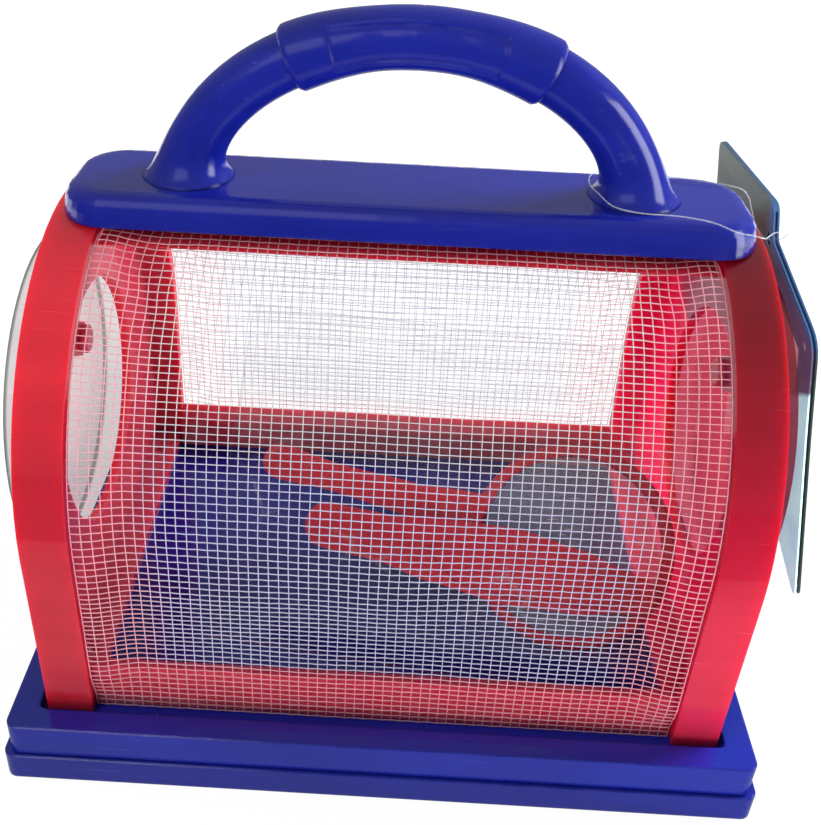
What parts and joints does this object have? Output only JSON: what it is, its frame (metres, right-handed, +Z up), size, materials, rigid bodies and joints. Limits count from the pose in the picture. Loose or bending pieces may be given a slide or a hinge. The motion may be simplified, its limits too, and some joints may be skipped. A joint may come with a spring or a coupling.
{
  "type": "bug house",
  "caption": "Child's carry cage for insects: stepped base, arched ends with round doors, net sides, roof cap with a bow handle, bagged magnifier and scoop inside, hang tag on a loop.",
  "frame": {"origin": "centre of the flat underside of the base", "axes": "+Z up, +X to the end with the hang tag, -Y the front"},
  "size_m": [0.2142, 0.154, 0.1886],
  "materials": {
    "blue_plastic": "glossy moulded plastic",
    "red_plastic": "glossy translucent moulded plastic",
    "net_thread": "woven white thread, open squares",
    "clear_plastic": "clear moulded plastic",
    "lens_plastic": "polished clear plastic",
    "bag_film": "thin clear film, wrinkled",
    "tag_card": "printed folded card",
    "loop_nylon": "clear nylon thread",
    "screw_steel": "zinc plated"
  },
  "bodies": {
    "house": {"base_plinth": "blue_plastic", "base_tray": "blue_plastic", "end_frame_left": "red_plastic", "end_frame_right": "red_plastic", "bottom_rail_front": "red_plastic", "bottom_rail_rear": "red_plastic", "top_rail_front": "red_plastic", "top_rail_rear": "red_plastic", "net_front": "net_thread", "net_rear": "net_thread", "roof_cap": "blue_plastic", "carry_handle": "blue_plastic", "handle_grip": "blue_plastic", "door_pin_left": "red_plastic", "door_pin_right": "red_plastic", "tag_loop": "loop_nylon", "base_screw_1": "screw_steel", "base_screw_2": "screw_steel", "base_screw_3": "screw_steel", "base_screw_4": "screw_steel", "cap_screw_1": "screw_steel", "cap_screw_2": "screw_steel", "handle_screw_1": "screw_steel", "handle_screw_2": "screw_steel"},
    "left_door": {"door_left": "clear_plastic"},
    "right_door": {"door_right": "red_plastic"},
    "tool_pack": {"magnifier_frame": "red_plastic", "magnifier_lens": "lens_plastic", "scoop": "red_plastic", "tool_bag": "bag_film"},
    "tag": {"hang_tag": "tag_card"}
  },
  "joints": [
    {"name": "left_door_turn", "type": "hinge", "parent": "house", "child": "left_door", "pos_m": [-0.0945, -0.009, 0.0979], "axis": [-1, 0, 0], "range_deg": [0, 90]},
    {"name": "right_door_turn", "type": "hinge", "parent": "house", "child": "right_door", "pos_m": [0.0945, -0.009, 0.0979], "axis": [-1, 0, 0], "range_deg": [0, 90]},
    {"name": "tool_pack_lift", "type": "slide", "parent": "house", "child": "tool_pack", "axis": [0, 0, 1], "range_m": [0, 0.018]},
    {"name": "tag_swing", "type": "hinge", "parent": "house", "child": "tag", "pos_m": [0.0988, 0.0118, 0.1286], "axis": [1, 0, 0], "range_deg": [-4, 8]}
  ]
}
